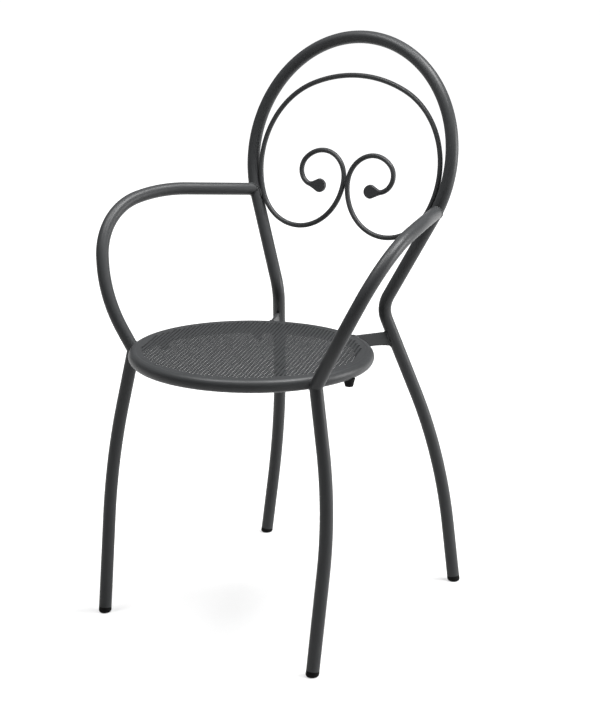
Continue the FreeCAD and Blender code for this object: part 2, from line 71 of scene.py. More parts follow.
# Root gap of a weld, the most that a bend's facets leave its arc, and the least angle of a sharp edge
WELD_GAP = 0.0002
CHORD_ERROR = 0.00003
SMOOTH_ANGLE = radians(40)
# Detail of the paint's clouds, and the colour mix node's sockets, which share their names with others
CLOUD_DETAIL = 3.0
MIX_FACTOR, MIX_FIRST, MIX_SECOND, MIX_RESULT = 0, 6, 7, 2


class Slot(Enum):
    """Material slots of the record."""

    FRAME_PAINT = "frame_paint"
    FOOT_PLASTIC = "foot_plastic"
    BUMPER_RUBBER = "bumper_rubber"


class Pick(Enum):
    """What a selection in edit mode holds."""

    VERT = "verts"
    EDGE = "edges"
    FACE = "faces"


def deselect() -> None:
    """Leave no object selected, the frame's nodes included."""
    bpy.ops.object.select_all(action="DESELECT")


def activate(piece: Object) -> None:
    """Make one piece the only selected and the active one.

    Args:
        piece: Piece to work on.
    """
    deselect()
    piece.select_set(True)
    bpy.context.view_layer.objects.active = piece


@contextmanager
def editing(piece: Object) -> Iterator[None]:
    """Hold a piece in edit mode, all of it selected.

    Args:
        piece: Piece to edit.
    """
    activate(piece)
    bpy.ops.object.mode_set(mode="EDIT")
    bpy.ops.mesh.select_all(action="SELECT")
    yield
    bpy.ops.object.mode_set(mode="OBJECT")


def pick(piece: Object, kind: Pick, test: Callable[[Any], bool]) -> None:
    """Select in edit mode what passes a test of its place.

    Args:
        piece: Piece in edit mode.
        kind: Whether points, edges or faces are tested.
        test: Whether one of them is selected.
    """
    bpy.ops.mesh.select_mode(type=kind.name)
    bpy.ops.mesh.select_all(action="DESELECT")
    mesh = bmesh.from_edit_mesh(piece.data)
    for item in getattr(mesh, kind.value):
        item.select_set(test(item))
    mesh.select_flush_mode()
    bmesh.update_edit_mesh(piece.data)


def merge_points(gap: float) -> None:
    """Join what lies closer than a gap in the piece that is in edit mode."""
    bpy.ops.mesh.select_all(action="SELECT")
    bpy.ops.mesh.remove_doubles(threshold=gap)


def added(name: str) -> Object:
    """Name the object that was added last, and its data.

    Args:
        name: Its name.

    Returns:
        The object.
    """
    item = bpy.context.active_object
    item.name = item.data.name = name
    return item


def apply_place(piece: Object) -> None:
    """Move an object's place, turn and scale into its mesh."""
    activate(piece)
    bpy.ops.object.transform_apply(location=True, rotation=True, scale=True)


def place(piece: Object, matrix: Matrix) -> Object:
    """Set a piece that was modelled about the origin in its place.

    Args:
        piece: Piece to move.
        matrix: Its place in the chair.

    Returns:
        The same piece, with the place in its mesh.
    """
    piece.matrix_world = matrix
    apply_place(piece)
    return piece


def facing(origin: Vector, axis: Vector) -> Matrix:
    """Place at a point, with the local +Z along an axis."""
    return Matrix.Translation(origin) @ axis.to_track_quat("Z", "Y").to_matrix().to_4x4()


def add_ring(name: str, sides: int, radius: float, matrix: Matrix = Matrix()) -> Object:
    """Add an open ring of points, from which a piece is drawn.

    Args:
        name: Name of the piece.
        sides: Number of points.
        radius: Radius of the ring.
        matrix: Its place, square to the local Z axis.

    Returns:
        The ring, with the place in its mesh.
    """
    deselect()
    bpy.ops.mesh.primitive_circle_add(vertices=sides, radius=radius, fill_type="NOTHING")
    return place(added(name), matrix)


def around(centre: tuple[float, float], radius: float, angle: float) -> tuple[float, float]:
    """Point of a plane at an angle about a centre."""
    return centre[0] + radius * cos(angle), centre[1] + radius * sin(angle)


def mirrored_copy(piece: Object, name: str) -> Object:
    """Copy a left piece to the right side.

    Args:
        piece: Piece of the left side.
        name: Name of the copy.

    Returns:
        The copy, with its own mesh.
    """
    activate(piece)
    bpy.ops.object.duplicate(linked=False)
    copy = added(name)
    copy.scale.x = -1
    apply_place(copy)
    with editing(copy):
        bpy.ops.mesh.normals_make_consistent(inside=False)
    return copy


def modify(piece: Object, kind: str, **settings: Any) -> None:
    """Give a piece a modifier and apply it.

    Args:
        piece: Piece to change.
        kind: Type of the modifier.
        settings: Properties of the modifier.
    """
    modifier = piece.modifiers.new(kind, kind)
    for name, value in settings.items():
        setattr(modifier, name, value)
    activate(piece)
    bpy.ops.object.modifier_apply(modifier=modifier.name)


def cope(piece: Object, *seats: Object) -> None:
    """Cut away from a piece what others fill, as a tube's end is ground to its seats."""
    for seat in seats:
        modify(piece, "BOOLEAN", operation="DIFFERENCE", solver="EXACT", object=seat)


def linear(colour: str) -> tuple[float, float, float, float]:
    """Turn an sRGB hex colour to linear light.

    Args:
        colour: Six hex digits after a number sign.

    Returns:
        Red, green, blue and an alpha of 1.
    """
    parts = [int(colour[i : i + 2], 16) / 255 for i in (1, 3, 5)]
    red, green, blue = (p / 12.92 if p <= 0.04045 else ((p + 0.055) / 1.055) ** 2.4 for p in parts)
    return red, green, blue, 1.0


def add_node(
    tree: NodeTree,
    kind: str,
    inputs: dict[Any, Any] | None = None,
    links: dict[Any, Any] | None = None,
    **settings: Any,
) -> Node:
    """Add a node to a tree.

    Args:
        tree: Node tree of a material or the world.
        kind: Type name of the node, after its prefix.
        inputs: Fixed values by socket.
        links: Output sockets by the socket that they feed.
        settings: Properties of the node.

    Returns:
        The new node.
    """
    node = tree.nodes.new("ShaderNode" + kind)
    for name, value in settings.items():
        setattr(node, name, value)
    for socket, value in (inputs or {}).items():
        node.inputs[socket].default_value = value
    for socket, source in (links or {}).items():
        tree.links.new(source, node.inputs[socket])
    return node


def new_material(name: str) -> Material:
    """Make a material.

    Args:
        name: Its name.

    Returns:
        The material, its node tree empty.
    """
    material = bpy.data.materials.new(name)
    material.use_nodes = True
    material.node_tree.nodes.clear()
    return material


@dataclass(frozen=True)
class Relief:
    """One layer of a surface's fine relief: size of its grains, its height and its detail."""

    size: float
    height: float
    detail: float


@dataclass(frozen=True)
class Finish:
    """Opaque finish of two close tones, with layers of relief and a gloss that the finest one breaks up."""

    name: str
    slot: Slot
    tones: tuple[str, str]
    cloud_size: float
    reliefs: tuple[Relief, ...]
    roughness: tuple[float, float]
    specular: float
    ior: float

    def material(self) -> Material:
        """Give the finish's material, made when it is first asked for.

        Returns:
            The material, shared by all pieces of this finish.
        """
        if self.name in bpy.data.materials:
            return bpy.data.materials[self.name]
        material = new_material(self.name)
        add = partial(add_node, material.node_tree)
        coords = {"Vector": add("TexCoord").outputs["Object"]}
        cloud = add("TexNoise", {"Scale": 1 / self.cloud_size, "Detail": CLOUD_DETAIL}, coords)
        tones = dict(zip((MIX_FIRST, MIX_SECOND), map(linear, self.tones)))
        tone = add("Mix", tones, {MIX_FACTOR: cloud.outputs["Fac"]}, data_type="RGBA")
        below: dict[str, Any] = {}
        for relief in self.reliefs:
            grain = add("TexNoise", {"Scale": 1 / relief.size, "Detail": relief.detail}, coords)
            height = {"Height": grain.outputs["Fac"], **below}
            below = {"Normal": add("Bump", {"Distance": relief.height}, height).outputs["Normal"]}
        rough = dict(zip(("To Min", "To Max"), self.roughness))
        gloss = add("MapRange", rough, {"Value": grain.outputs["Fac"]})
        surface = add(
            "BsdfPrincipled",
            {"IOR": self.ior, "Specular IOR Level": self.specular},
            {"Base Color": tone.outputs[MIX_RESULT], "Roughness": gloss.outputs["Result"], **below},
        )
        add("OutputMaterial", links={"Surface": surface.outputs["BSDF"]})
        return material


# Polyester powder, sprayed and baked on steel: a satin anthracite whose broad soft highlights are gently
# broken by the flow of the molten powder. Its real grit, finer than 0.1 mm, is drawn coarser so that it shows
POWDER_COAT = Finish(
    name="anthracite_powder_coat",
    slot=Slot.FRAME_PAINT,
    tones=("#313233", "#373839"),
    cloud_size=0.060,
    reliefs=(Relief(0.0030, 0.00003, 1.0), Relief(0.0009, 0.00001, 2.0)),
    roughness=(0.36, 0.46),
    specular=0.18,
    ior=1.5,
)
# Injection-moulded polyethylene: a dull black that shows its shape by a faint sheen on the mould's grain
FOOT_PLASTIC = Finish(
    name="black_polyethylene",
    slot=Slot.FOOT_PLASTIC,
    tones=("#0b0b0b", "#131313"),
    cloud_size=0.0040,
    reliefs=(Relief(0.0008, 0.00002, 3.0),),
    roughness=(0.62, 0.74),
    specular=0.08,
    ior=1.51,
)
# Compression-moulded rubber: a matt black, a little dusty, with hardly any highlight
BUMPER_RUBBER = Finish(
    name="black_rubber",
    slot=Slot.BUMPER_RUBBER,
    tones=("#0c0c0c", "#151515"),
    cloud_size=0.0060,
    reliefs=(Relief(0.0012, 0.00003, 3.0),),
    roughness=(0.72, 0.84),
    specular=0.12,
    ior=1.52,
)


def finish_piece(piece: Object, finish: Finish, *nodes: str) -> None:
    """Give a modelled piece its material, its body and the nodes that it stands for.

    Args:
        piece: Modelled piece.
        finish: Its finish.
        nodes: Names of the CAD nodes that the piece replaces.
    """
    piece.data.materials.clear()
    piece.data.materials.append(finish.material())
    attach(piece, BODY)
    if nodes:
        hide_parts(*nodes)
    LOG.info("%s: %d faces for %s", piece.name, len(piece.data.polygons), ", ".join(nodes) or "no node")


@dataclass
class SubAssembly(ABC):
    """Pieces of the chair that are made and finished together, each with the node that it replaces."""

    made: list[tuple[Object, str | None]] = field(init=False, default_factory=list)

    @abstractmethod
    def build(self) -> None:
        """Model the pieces, those of a pair on the left only."""

    def dress(self, finish: Finish) -> None:
        """Smooth and finish the pieces, and mirror those whose name ends in left.

        Args:
            finish: Finish of all of them.
        """
        for piece, node in self.made:
            activate(piece)
            bpy.ops.object.shade_smooth_by_angle(angle=SMOOTH_ANGLE)
            pieces = {"": piece}
            stem = piece.name.removesuffix("left")
            if stem != piece.name:
                pieces = {"_left": piece, "_right": mirrored_copy(piece, stem + "right")}
            for side, half in pieces.items():
                finish_piece(half, finish, *([node + side] if node else []))


@dataclass
class RoundBar:
    """Tube or bar drawn from one ring of points along straight runs and bends."""

    name: str
    radius: float
    sides: int
    piece: Object = field(init=False)
    at: Vector = field(init=False)

    def begin(self, point: Vector, heading: Vector) -> None:
        """Lay the first ring.

        Args:
            point: Start of the centre line.
            heading: Direction in which the bar leaves it.
        """
        self.piece = add_ring(self.name, self.sides, self.radius, facing(point, heading))
        self.at = Vector(point)
        bpy.ops.object.mode_set(mode="EDIT")
        bpy.ops.mesh.select_all(action="SELECT")

    def run_to(self, point: Vector) -> None:
        """Draw the bar straight on.

        Args:
            point: Where the run ends.
        """
        if (point - self.at).length > WELD_GAP:
            bpy.ops.mesh.extrude_region_move(TRANSFORM_OT_translate={"value": point - self.at})
            self.at = Vector(point)

    def turn(self, centre: Vector, axis: Vector, angle: float) -> None:
        """Bend the bar about an axis.

        Args:
            centre: Point on the axis, level with the bar.
            axis: Direction of the axis.
            angle: Turn about it, right-handed.
        """
        reach = (self.at - centre).length
        steps = ceil(angle / (2 * acos(1 - CHORD_ERROR / reach)))
        bpy.ops.mesh.spin(steps=steps, angle=-angle, center=centre, axis=axis)
        self.at = centre + Matrix.Rotation(angle, 3, axis) @ (self.at - centre)

    def follow(self, corners: Sequence[Vector], radii: Sequence[float]) -> None:
        """Draw the bar along corners that are each rounded by a bend.

        Args:
            corners: Points after the present one, the last being the end.
            radii: Bend radius at each of them but the last.
        """
        points = [self.at, *corners]
        for before, corner, after, radius in zip(points, points[1:], points[2:], radii):
            back, ahead = (before - corner).normalized(), (after - corner).normalized()
            half = back.angle(ahead) / 2
            self.run_to(corner + back * (radius / tan(half)))
            centre = corner + (back + ahead).normalized() * (radius / sin(half))
            self.turn(centre, ahead.cross(back).normalized(), pi - 2 * half)
        self.run_to(corners[-1])

    def close(self) -> Object:
        """Close the bar's ends.

        Returns:
            The finished bar.
        """
        merge_points(CHORD_ERROR)
        bpy.ops.mesh.fill_holes(sides=0)
        bpy.ops.mesh.normals_make_consistent(inside=False)
        bpy.ops.object.mode_set(mode="OBJECT")
        return self.piece


class Ring(NamedTuple):
    """Ring of a drawn piece: half width and shift in X, half depth in Y."""

    height: float
    width: float
    depth: float
    shift: float = 0.0

    @classmethod
    def round(cls, height: float, radius: float) -> "Ring":
        """Ring of one radius."""
        return cls(height, radius, radius)


def draw_rings(name: str, sides: int, rings: Sequence[Ring]) -> Object:
    """Draw a piece along +Z from ring to ring.

    Args:
        name: Name of the piece.
        sides: Number of points of each ring.
        rings: Rings from one end to the other, the first of them round.

    Returns:
        The piece, closed at both ends.
    """
    begin = Matrix.Translation((rings[0].shift, 0, rings[0].height))
    piece = add_ring(name, sides, rings[0].width, begin)
    with editing(piece):
        for last, ring in zip(rings, rings[1:]):
            move = (ring.shift - last.shift, 0, ring.height - last.height)
            bpy.ops.mesh.extrude_region_move(TRANSFORM_OT_translate={"value": move})
            growth = (ring.width / last.width, ring.depth / last.depth, 1)
            bpy.ops.transform.resize(value=growth, center_override=(ring.shift, 0, ring.height))
        bpy.ops.mesh.select_all(action="SELECT")
        bpy.ops.mesh.fill_holes(sides=0)
        bpy.ops.mesh.normals_make_consistent(inside=False)
    return piece


@dataclass(frozen=True)
class WeldBead:
    """Rippled fillet of weld metal, painted over with the frame."""

    radius: float = 0.0016
    ripple_pitch: float = 0.0022
    ripple_depth: float = 0.10
    touch: float = 0.0003
    cuts: int = 3
    round_steps: int = 2
    dab_sides: int = 12

    def along_rim(self, name: str, piece: Object, seats: Sequence[Object]) -> Object:
        """Lay a bead where a coped piece lands on others.

        Args:
            name: Name of the weld.
            piece: Piece that was cut to its seats.
            seats: Pieces that it lands on.

        Returns:
            The weld, as a piece of its own.
        """

        def lands(vert: bmesh.types.BMVert, seat: Object) -> bool:
            """Whether a point lies on a seat."""
            return (seat.closest_point_on_mesh(vert.co)[1] - vert.co).length < self.touch

        before = set(bpy.data.objects)
        with editing(piece):
            mesh = bmesh.from_edit_mesh(piece.data)
            on_seat = {
                face.index: any(all(lands(vert, seat) for vert in face.verts) for seat in seats)
                for face in mesh.faces
            }
            pick(piece, Pick.EDGE, lambda e: len({on_seat[f.index] for f in e.link_faces}) == 2)
            bpy.ops.mesh.duplicate()
            bpy.ops.mesh.separate(type="SELECTED")
        rim = next(item for item in bpy.data.objects if item not in before)
        rim.name = rim.data.name = name
        with editing(rim):
            merge_points(self.touch)
            bpy.ops.mesh.subdivide(number_cuts=self.cuts)
        activate(rim)
        bpy.ops.object.convert(target="CURVE")
        return self._fill_out(rim)

    def _fill_out(self, line: Object) -> Object:
        """Give a line of weld its rippled thickness.

        Args:
            line: Curve along the weld.

        Returns:
            The weld as a mesh.
        """
        line.data.bevel_depth = self.radius
        line.data.bevel_resolution = self.round_steps
        line.data.use_fill_caps = True
        for spline in line.data.splines:
            points = list(spline.points)
            laid = 0.0
            for before, here in zip([points[0], *points], points):
                laid += (here.co - before.co).length
                wave = cos(2 * pi * laid / self.ripple_pitch)
                here.radius = 1 + self.ripple_depth * wave
        bpy.ops.object.convert(target="MESH")
        weld = bpy.context.active_object
        with editing(weld):
            bpy.ops.mesh.normals_make_consistent(inside=False)
        return weld

    def dab(self, name: str, centre: Vector, along: Vector, length: float) -> Object:
        """Lay a short straight bead that thins out at both ends.

        Args:
            name: Name of the weld.
            centre: Its middle.
            along: Its direction.
            length: Its length.

        Returns:
            The weld, as a piece of its own.
        """
        steps = round(length / self.ripple_pitch) * (self.cuts + 1)
        rings = []
        for step in range(1, steps):
            share = step / steps
            wave = cos(2 * pi * share * length / self.ripple_pitch)
            swell = sqrt(sin(pi * share))
            radius = self.radius * swell * (1 + self.ripple_depth * wave)
            rings.append(Ring.round((share - 0.5) * length, radius))
        weld = draw_rings(name, self.dab_sides, rings)
        return place(weld, facing(centre, along))


@dataclass(frozen=True)
class BackPlane:
    """Leaning plane of the back, measured sideways and up from the line between the knees."""

    knee_y: float = 0.1435
    knee_z: float = 0.4875
    lean: float = radians(15)

    @property
    def up(self) -> Vector:
        """Direction up the back."""
        return Vector((0, sin(self.lean), cos(self.lean)))

    @property
    def normal(self) -> Vector:
        """Direction out of the back, to the front."""
        return Vector((1, 0, 0)).cross(self.up)

    def at(self, x: float, rise: float) -> Vector:
        """Point of the plane."""
        return Vector((x, self.knee_y, self.knee_z)) + self.up * rise

    def polar(self, centre: tuple[float, float], radius: float, angle: float) -> Vector:
        """Point of the plane at an angle about a centre."""
        return self.at(*around(centre, radius, angle))


@dataclass
class BackFrame(SubAssembly):
    """One tube from foot to foot over both rear legs, the knees and the hoop."""

    plane: BackPlane
    tube_radius: float = 0.0105
    sides: int = 40
    rear_foot: Vector = Vector((0.200, 0.2195, 0))
    rear_bow: Vector = Vector((0.168, 0.226, 0.221))
    rear_bow_radius: float = 0.735
    knee_x: float = 0.105
    knee_radius: float = 0.049
    hoop_rise: float = 0.2385
    hoop_radius: float = 0.1965
    foot_height: float = 0.009
    piece: Object = field(init=False)

    @property
    def leg_up(self) -> Vector:
        """Direction of the left rear leg's lower end, upward."""
        return (self.rear_bow - self.rear_foot).normalized()

    @property
    def knee(self) -> Vector:
        """Corner of the left knee."""
        return self.plane.at(self.knee_x, 0)

    @property
    def tangent(self) -> tuple[float, float]:
        """Where the run up from the left knee meets the hoop.

        Returns:
            The place sideways and up in the back's plane.
        """
        reach = hypot(self.knee_x, self.hoop_rise)
        run = sqrt(reach**2 - self.hoop_radius**2)
        angle = atan2(self.hoop_rise, -self.knee_x) - asin(self.hoop_radius / reach)
        return self.knee_x + run * cos(angle), run * sin(angle)

    def landing(self, rise: float) -> Vector:
        """Point of the hoop's centre line at a height up the back, on the left."""
        return self.plane.at(sqrt(self.hoop_radius**2 - (rise - self.hoop_rise) ** 2), rise)

    def build(self) -> None:
        """Bend the tube."""
        tangent_x, tangent_rise = self.tangent
        hoop_centre = self.plane.at(0, self.hoop_rise)
        hoop_start = self.plane.at(tangent_x, tangent_rise)
        rise_angle = atan2(self.hoop_rise - tangent_rise, tangent_x)
        tube_end = self.rear_foot + self.leg_up * self.foot_height

        bar = RoundBar("back_frame_tube", self.tube_radius, self.sides)
        bar.begin(tube_end, self.leg_up)
        bar.follow([self.rear_bow, self.knee, hoop_start], [self.rear_bow_radius, self.knee_radius])
        bar.turn(hoop_centre, self.plane.normal, pi + 2 * rise_angle)
        corners = [Vector((-p.x, p.y, p.z)) for p in (self.knee, self.rear_bow, tube_end)]
        bar.follow(corners, [self.knee_radius, self.rear_bow_radius])
        self.piece = bar.close()
        self.made = [(self.piece, "back_frame")]


@dataclass(frozen=True)
class SeatPlane:
    """Plane of the seat ring's centre line, which falls a little to the rear."""

    centre: Vector = Vector((0, -0.072, 0.4435))
    tilt: float = radians(2.25)

    @property
    def matrix(self) -> Matrix:
        """Place of the seat, its middle at the origin and its top to +Z."""
        return Matrix.Translation(self.centre) @ Matrix.Rotation(-self.tilt, 4, "X")


@dataclass
class SeatRing(SubAssembly):
    """Round tube under the edge of the seat."""

    plane: SeatPlane
    ring_radius: float = 0.184
    tube_radius: float = 0.0105
    sides: int = 40
    piece: Object = field(init=False)

    def build(self) -> None:
        """Bend the ring and close it on itself."""
        bar = RoundBar("seat_ring_tube", self.tube_radius, self.sides)
        bar.begin(Vector((self.ring_radius, 0, 0)), Vector((0, 1, 0)))
        bar.turn(Vector(), Vector((0, 0, 1)), 2 * pi)
        self.piece = place(bar.close(), self.plane.matrix)
        self.made = [(self.piece, "seat_ring")]


@dataclass
class SeatSheet(SubAssembly):
    """Perforated steel sheet let in flush with the ring's crest."""

    ring: SeatRing
    pitch: float = 0.0072
    hole_radius: float = 0.002375
    hole_sides: int = 12
    row_angle: float = radians(-6.4)
    holed_radius: float = 0.173
    margin_radius: float = 0.178
    edge_radius: float = 0.182
    edge_drop: float = 0.0002
    thickness: float = 0.00105
    merge_gap: float = 0.000072

    def _cell(self) -> Object:
        """Model one six-sided cell with a round hole.

        Returns:
            The cell, flat, about the origin.
        """
        cell = add_ring("perforated_seat", self.hole_sides, self.hole_radius)
        flats = self.pitch / 2

        def is_corner(vert: bmesh.types.BMVert) -> bool:
            """Whether a point is one of the cell's six corners."""
            outer = vert.co.length > (self.hole_radius + flats) / 2
            return outer and abs(sin(3 * atan2(vert.co.y, vert.co.x))) > sqrt(0.5)

        with editing(cell):
            bpy.ops.mesh.extrude_region_move()
            grow = flats / self.hole_radius
            bpy.ops.transform.resize(value=(grow, grow, 1), center_override=(0, 0, 0))
            pick(cell, Pick.VERT, is_corner)
            grow = 1 / cos(pi / 6)
            bpy.ops.transform.resize(value=(grow, grow, 1), center_override=(0, 0, 0))
        return cell

    def _repeat(self, cell: Object) -> None:
        """Lay the cell out in rows, and keep the cells inside the holed circle.

        Args:
            cell: One cell, which becomes the sheet.
        """
        half = ceil(self.holed_radius / (self.pitch * sin(pi / 3)))
        count = 2 * half + 1
        step = Vector((self.pitch, 0, 0))
        shift = Matrix.Rotation(pi / 3, 3, "Z") @ step
        place(cell, Matrix.Translation((step + shift) * -half))
        for offset in (step, shift):
            row = {"use_constant_offset": True, "constant_offset_displace": offset, "count": count}
            modify(cell, "ARRAY", use_relative_offset=False, **row)

        def outside(face: bmesh.types.BMFace) -> bool:
            """Whether a face belongs to a cell beyond the holed circle."""
            row, column = divmod(face.index // self.hole_sides, count)
            return (step * (column - half) + shift * (row - half)).length > self.holed_radius

        with editing(cell):
            pick(cell, Pick.FACE, outside)
            bpy.ops.mesh.delete(type="FACE")
            merge_points(self.merge_gap)

    def _margin(self, sheet: Object) -> None:
        """Draw the cells' outline out to the round edge of the sheet.

        Args:
            sheet: The joined cells.
        """
        rim_length = (self.pitch / 2) * tan(pi / 6)
        hole_length = 2 * self.hole_radius * sin(pi / self.hole_sides)
        limit = (rim_length + hole_length) / 2
        with editing(sheet):
            pick(sheet, Pick.EDGE, lambda e: e.is_boundary and e.calc_length() > limit)
            for radius, drop in ((self.margin_radius, 0.0), (self.edge_radius, self.edge_drop)):
                bpy.ops.mesh.extrude_region_move()
                mesh = bmesh.from_edit_mesh(sheet.data)
                for vert in (v for v in mesh.verts if v.select):
                    flat = Vector((vert.co.x, vert.co.y, 0)).normalized() * radius
                    vert.co = flat - Vector((0, 0, drop))
                bmesh.update_edit_mesh(sheet.data)
            merge_points(self.merge_gap)
            bpy.ops.mesh.normals_make_consistent(inside=False)

    def build(self) -> None:
        """Punch the sheet, give it its thickness and set it in the ring."""
        sheet = self._cell()
        self._repeat(sheet)
        self._margin(sheet)
        modify(sheet, "SOLIDIFY", thickness=self.thickness, offset=-1)
        turned = Matrix.Translation((0, 0, self.ring.tube_radius)) @ Matrix.Rotation(self.row_angle, 4, "Z")
        place(sheet, self.ring.plane.matrix @ turned)
        self.made = [(sheet, "seat_sheet")]


@dataclass
class ArmAndLeg(SubAssembly):
    """Left arm and front leg, which meet in a mitre on the outer face of the seat ring."""

    back: BackFrame
    ring: SeatRing
    joint_angle: float = radians(23)
    joint_standoff: float = 0.0008
    joint_drop: float = 0.002
    bow: Vector = Vector((0.218, -0.170, 0.255))
    bow_radius: float = 0.835
    foot: Vector = Vector((0.211, -0.212, 0))
    arm_low: Vector = Vector((0.229, -0.1565, 0.5225))
    arm_low_radius: float = 0.240
    arm_front: Vector = Vector((0.280, -0.104, 0.6495))
    arm_front_radius: float = 0.125
    arm_rear: Vector = Vector((0.257, 0.025, 0.667))
    arm_rear_radius: float = 0.262
    arm_landing: float = 0.164
    overrun: float = 0.020
    weld: WeldBead = WeldBead(radius=0.0012)

    @property
    def joint(self) -> Vector:
        """Where the centre lines of arm and leg meet.

        Returns:
            The point, outside the ring.
        """
        reach = self.ring.ring_radius + self.ring.tube_radius + self.joint_standoff
        flat = Vector((cos(self.joint_angle), -sin(self.joint_angle), 0)) * reach
        return self.ring.plane.centre + flat - Vector((0, 0, self.joint_drop))

    @property
    def leg_up(self) -> Vector:
        """Direction of the leg's lower end, upward."""
        return (self.bow - self.foot).normalized()

    @property
    def arm_up(self) -> Vector:
        """Direction in which the arm leaves the joint."""
        return (self.arm_low - self.joint).normalized()

    def _fit(self, tube: Object, above: bool, *seats: Object) -> Object:
        """Cut a tube at the mitre's plane and cope it to its seats.

        Args:
            tube: Arm or leg, with its overrun.
            above: Whether what lies above the plane is kept.
            seats: Pieces that it lands on.

        Returns:
            The finished tube.
        """
        normal = (self.arm_up - (self.bow - self.joint).normalized()).normalized()
        with editing(tube):
            bpy.ops.mesh.bisect(
                plane_co=self.joint, plane_no=normal, use_fill=True, clear_inner=above, clear_outer=not above
            )
        cope(tube, *seats)
        return tube

    def _bend_leg(self) -> Object:
        """Bend the front leg and fit it to the ring.

        Returns:
            The finished leg.
        """
        top = self.joint + (self.joint - self.bow).normalized() * self.overrun
        bar = RoundBar("front_leg_tube_left", self.back.tube_radius, self.back.sides)
        bar.begin(self.foot + self.leg_up * self.back.foot_height, self.leg_up)
        bar.follow([self.bow, top], [self.bow_radius])
        return self._fit(bar.close(), False, self.ring.piece)

    def _bend_arm(self) -> Object:
        """Bend the arm and fit it to the ring and the hoop.

        Returns:
            The finished arm.
        """
        bar = RoundBar("arm_tube_left", self.back.tube_radius, self.back.sides)
        bar.begin(self.joint - self.arm_up * self.overrun, self.arm_up)
        bar.follow(
            [self.arm_low, self.arm_front, self.arm_rear, self.back.landing(self.arm_landing)],
            [self.arm_low_radius, self.arm_front_radius, self.arm_rear_radius],
        )
        return self._fit(bar.close(), True, self.ring.piece, self.back.piece)

    def build(self) -> None:
        """Bend the leg and the arm, and weld them to what they land on."""
        leg, arm = self._bend_leg(), self._bend_arm()
        ring, back = self.ring.piece, self.back.piece
        self.made = [
            (leg, "front_leg"),
            (arm, "arm"),
            (self.weld.along_rim("weld_front_leg_left", leg, [ring]), None),
            (self.weld.along_rim("weld_arm_left", arm, [ring, back]), None),
        ]


@dataclass
class SeatBracket(SubAssembly):
    """Upright plate from the seat ring to the left rear leg, arched underneath."""

    back: BackFrame
    ring: SeatRing
    thickness: float = 0.005
    depth: float = 0.025
    arch: float = 0.004
    edge_round: float = 0.0006
    spans: int = 16
    round_steps: int = 2
    weld: WeldBead = WeldBead()

    def build(self) -> None:
        """Cut the plate, fit it between ring and leg and weld it to both."""
        seat = self.ring.plane
        fall = (self.back.knee - self.back.rear_bow).normalized()
        leg = self.back.rear_bow + fall * ((seat.centre.z - self.back.rear_bow.z) / fall.z)
        crest = seat.centre + seat.matrix.to_3x3() @ Vector((0, 0, self.ring.tube_radius))
        out = Vector((leg.x, leg.y - seat.centre.y, 0))
        outer = out.length
        inner = self.ring.ring_radius
        out.z = -tan(seat.tilt) * out.y
        out.normalize()
        across = Vector((0, 0, 1)).cross(out).normalized()
        turn = Matrix((out, across, out.cross(across))).transposed().to_4x4()

        deselect()
        bpy.ops.mesh.primitive_cube_add(size=1, location=((inner + outer) / 2, 0, -self.depth / 2))
        plate = added("seat_bracket_plate_left")
        plate.scale = (outer - inner, self.thickness, self.depth)
        apply_place(plate)
        with editing(plate):
            pick(plate, Pick.EDGE, lambda e: abs(e.verts[0].co.x - e.verts[1].co.x) > self.thickness)
            bpy.ops.mesh.subdivide(number_cuts=self.spans - 1)
            mesh = bmesh.from_edit_mesh(plate.data)
            for vert in mesh.verts:
                if vert.co.z < -self.depth / 2:
                    share = 2 * (vert.co.x - inner) / (outer - inner) - 1
                    vert.co.z += self.arch * (1 - share**2)
            bmesh.update_edit_mesh(plate.data)
            pick(plate, Pick.EDGE, lambda e: e.calc_face_angle(0) > SMOOTH_ANGLE)
            bpy.ops.mesh.bevel(offset=self.edge_round, segments=self.round_steps, affect="EDGES")
        place(plate, Matrix.Translation(crest) @ turn)
        seats = [self.ring.piece, self.back.piece]
        cope(plate, *seats)
        bead = self.weld.along_rim("weld_bracket_left", plate, seats)
        self.made = [(plate, "seat_bracket"), (bead, None)]


